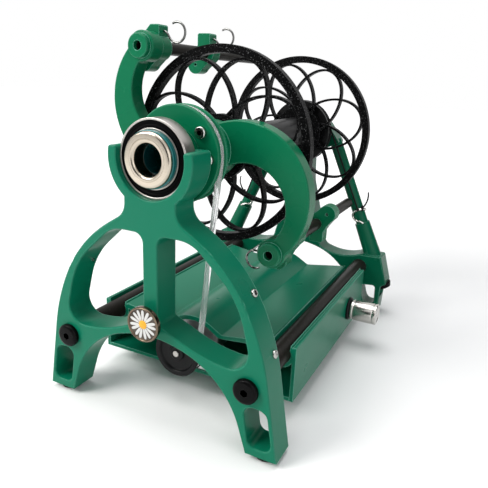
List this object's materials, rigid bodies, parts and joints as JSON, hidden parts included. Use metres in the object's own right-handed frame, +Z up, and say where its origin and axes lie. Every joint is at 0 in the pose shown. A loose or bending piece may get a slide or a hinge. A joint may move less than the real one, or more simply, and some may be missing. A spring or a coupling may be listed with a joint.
{
  "type": "electric yarn spinner",
  "caption": "Electric yarn spinner: open-saddle front frame, curved flyer with sliding yarn hooks, rosette-flanged bobbin and a motor base with belt drive.",
  "frame": {"origin": "centre of the overall outline on the floor plane under the foot pads", "axes": "+Y from the orifice at the front to the rear frame, +X towards the speed knob, +Z up"},
  "size_m": [0.226, 0.315, 0.2868],
  "materials": {
    "frame_green": "satin printed plastic with fine texture",
    "flyer_green": "satin printed plastic with fine texture",
    "bobbin_black": "fine textured moulded plastic",
    "sleeve_teal": "smooth teal plastic",
    "carbon_tube": "satin carbon tube",
    "orifice_steel": "polished steel",
    "race_steel": "ground bearing steel",
    "seal_rubber": "black bearing seal",
    "screw_steel": "bright screw steel",
    "bolt_black": "black oxide",
    "pad_rubber": "black rubber",
    "insert_brass": "machined brass",
    "belt_clear": "clear polyurethane cord",
    "motor_steel": "drawn steel can",
    "mount_metal": "sheet aluminium",
    "pulley_black": "black moulded plastic",
    "knob_aluminium": "polished turned aluminium",
    "collar_black": "black plastic",
    "board_green": "solder-masked board",
    "button_enamel": "clear-coated picture button",
    "magnet_nickel": "nickel plate",
    "hook_wire": "drawn spring wire",
    "cord_black": "braided cord"
  },
  "bodies": {
    "stand": {"front_frame": "frame_green", "rear_frame": "frame_green", "rear_post_left": "frame_green", "rear_post_right": "frame_green", "rear_bearing_block": "frame_green", "frame_tube_left": "carbon_tube", "frame_tube_right": "carbon_tube", "tube_inserts": "insert_brass", "front_tube_bolts": "bolt_black", "rear_tube_bolts": "bolt_black", "post_bolts": "bolt_black", "side_screws": "screw_steel", "foot_pads": "pad_rubber", "front_bearing_outer_race": "race_steel", "front_bearing_balls": "race_steel", "front_bearing_seals": "seal_rubber", "rear_bearing_outer_race": "race_steel", "rear_bearing_balls": "race_steel", "brake_cord": "cord_black", "brake_rings": "screw_steel", "base_cover": "frame_green", "base_floor": "frame_green", "motor_can": "motor_steel", "motor_mount": "mount_metal", "drive_belt": "belt_clear", "knob_collar": "collar_black", "potentiometer": "collar_black", "circuit_board": "board_green", "power_inlet": "collar_black", "button_case": "button_enamel", "button_magnet": "magnet_nickel", "frame_magnet": "magnet_nickel"},
    "flyer": {"front_bearing_inner_race": "race_steel", "orifice_ring": "orifice_steel", "flyer_sleeve": "sleeve_teal", "flyer_pulley_front": "flyer_green", "pulley_screws": "screw_steel", "flyer_yoke": "flyer_green", "flyer_shaft": "race_steel", "flyer_rod_upper": "carbon_tube", "flyer_rod_lower": "carbon_tube", "rear_bearing_inner_race": "race_steel"},
    "bobbin": {"bobbin_front_flange": "bobbin_black", "bobbin_rear_flange": "bobbin_black", "bobbin_core": "bobbin_black", "bobbin_whorl": "bobbin_black", "bobbin_bushings": "bobbin_black"},
    "motor_rotor": {"motor_shaft": "race_steel", "motor_pulley": "pulley_black"},
    "speed_control": {"speed_knob": "knob_aluminium", "knob_spindle": "race_steel"},
    "hook_slider_1": {"carriage_1": "flyer_green", "hook_1": "hook_wire"},
    "hook_slider_2": {"carriage_2": "flyer_green", "hook_2": "hook_wire"},
    "hook_slider_3": {"carriage_3": "flyer_green", "hook_3": "hook_wire"},
    "hook_slider_4": {"carriage_4": "flyer_green", "hook_4": "hook_wire"}
  },
  "joints": [
    {"name": "flyer_spin", "type": "hinge", "parent": "stand", "child": "flyer", "pos_m": [-0.00315, -0.13895, 0.194], "axis": [0, 1, 0], "continuous": true},
    {"name": "bobbin_spin", "type": "hinge", "parent": "flyer", "child": "bobbin", "pos_m": [-0.00315, 0.03205, 0.194], "axis": [0, 1, 0], "continuous": true},
    {"name": "motor_spin", "type": "hinge", "parent": "stand", "child": "motor_rotor", "pos_m": [-0.00315, -0.08795, 0.0425], "axis": [0, 1, 0], "continuous": true},
    {"name": "speed_turn", "type": "hinge", "parent": "stand", "child": "speed_control", "pos_m": [0.08805, 0.05205, 0.036], "axis": [1, 0, 0], "range_deg": [0, 300]},
    {"name": "hook_slide_1", "type": "slide", "parent": "flyer", "child": "hook_slider_1", "axis": [0, 1, 0], "range_m": [-0.0005, 0.033]},
    {"name": "hook_slide_2", "type": "slide", "parent": "flyer", "child": "hook_slider_2", "axis": [0, 1, 0], "range_m": [-0.03, 0.1]},
    {"name": "hook_slide_3", "type": "slide", "parent": "flyer", "child": "hook_slider_3", "axis": [0, 1, 0], "range_m": [-0.0005, 0.038]},
    {"name": "hook_slide_4", "type": "slide", "parent": "flyer", "child": "hook_slider_4", "axis": [0, 1, 0], "range_m": [-0.035, 0.09]}
  ],
  "couplings": [
    {"joint": "motor_spin", "follows": "flyer_spin", "ratio": 1.9375}
  ]
}
